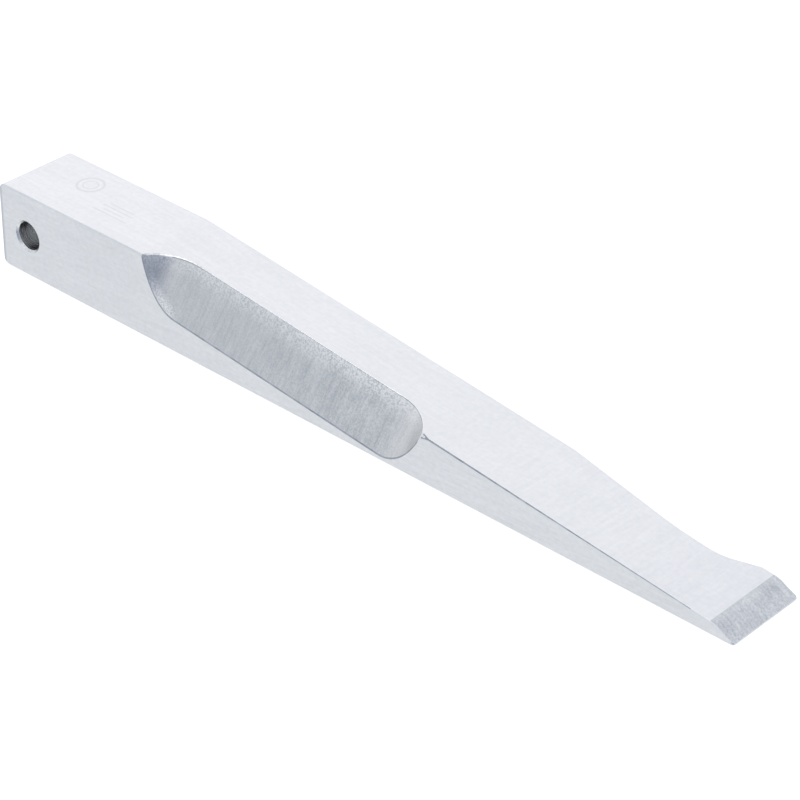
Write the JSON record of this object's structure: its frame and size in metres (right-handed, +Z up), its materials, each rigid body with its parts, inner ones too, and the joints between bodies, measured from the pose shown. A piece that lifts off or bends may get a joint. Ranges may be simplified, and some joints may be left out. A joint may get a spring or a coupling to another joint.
{
  "type": "pry wedge",
  "caption": "Solid square-bar pry wedge with a long tapered top, a bevelled prying tip, a waisted nose, a thumb scoop and a hanging hole.",
  "frame": {"origin": "centre of the flat underside, halfway between the butt and the tip", "axes": "+X along the bar towards the prying tip, +Z up from the underside, and -Y is the side that carries the thumb scoop"},
  "size_m": [0.2, 0.02, 0.02],
  "materials": {
    "milled_aluminium": "fine brushed faces with bright broken edges and a milled, slightly darker scoop"
  },
  "bodies": {
    "root": {"pry_bar": "milled_aluminium"}
  },
  "joints": []
}
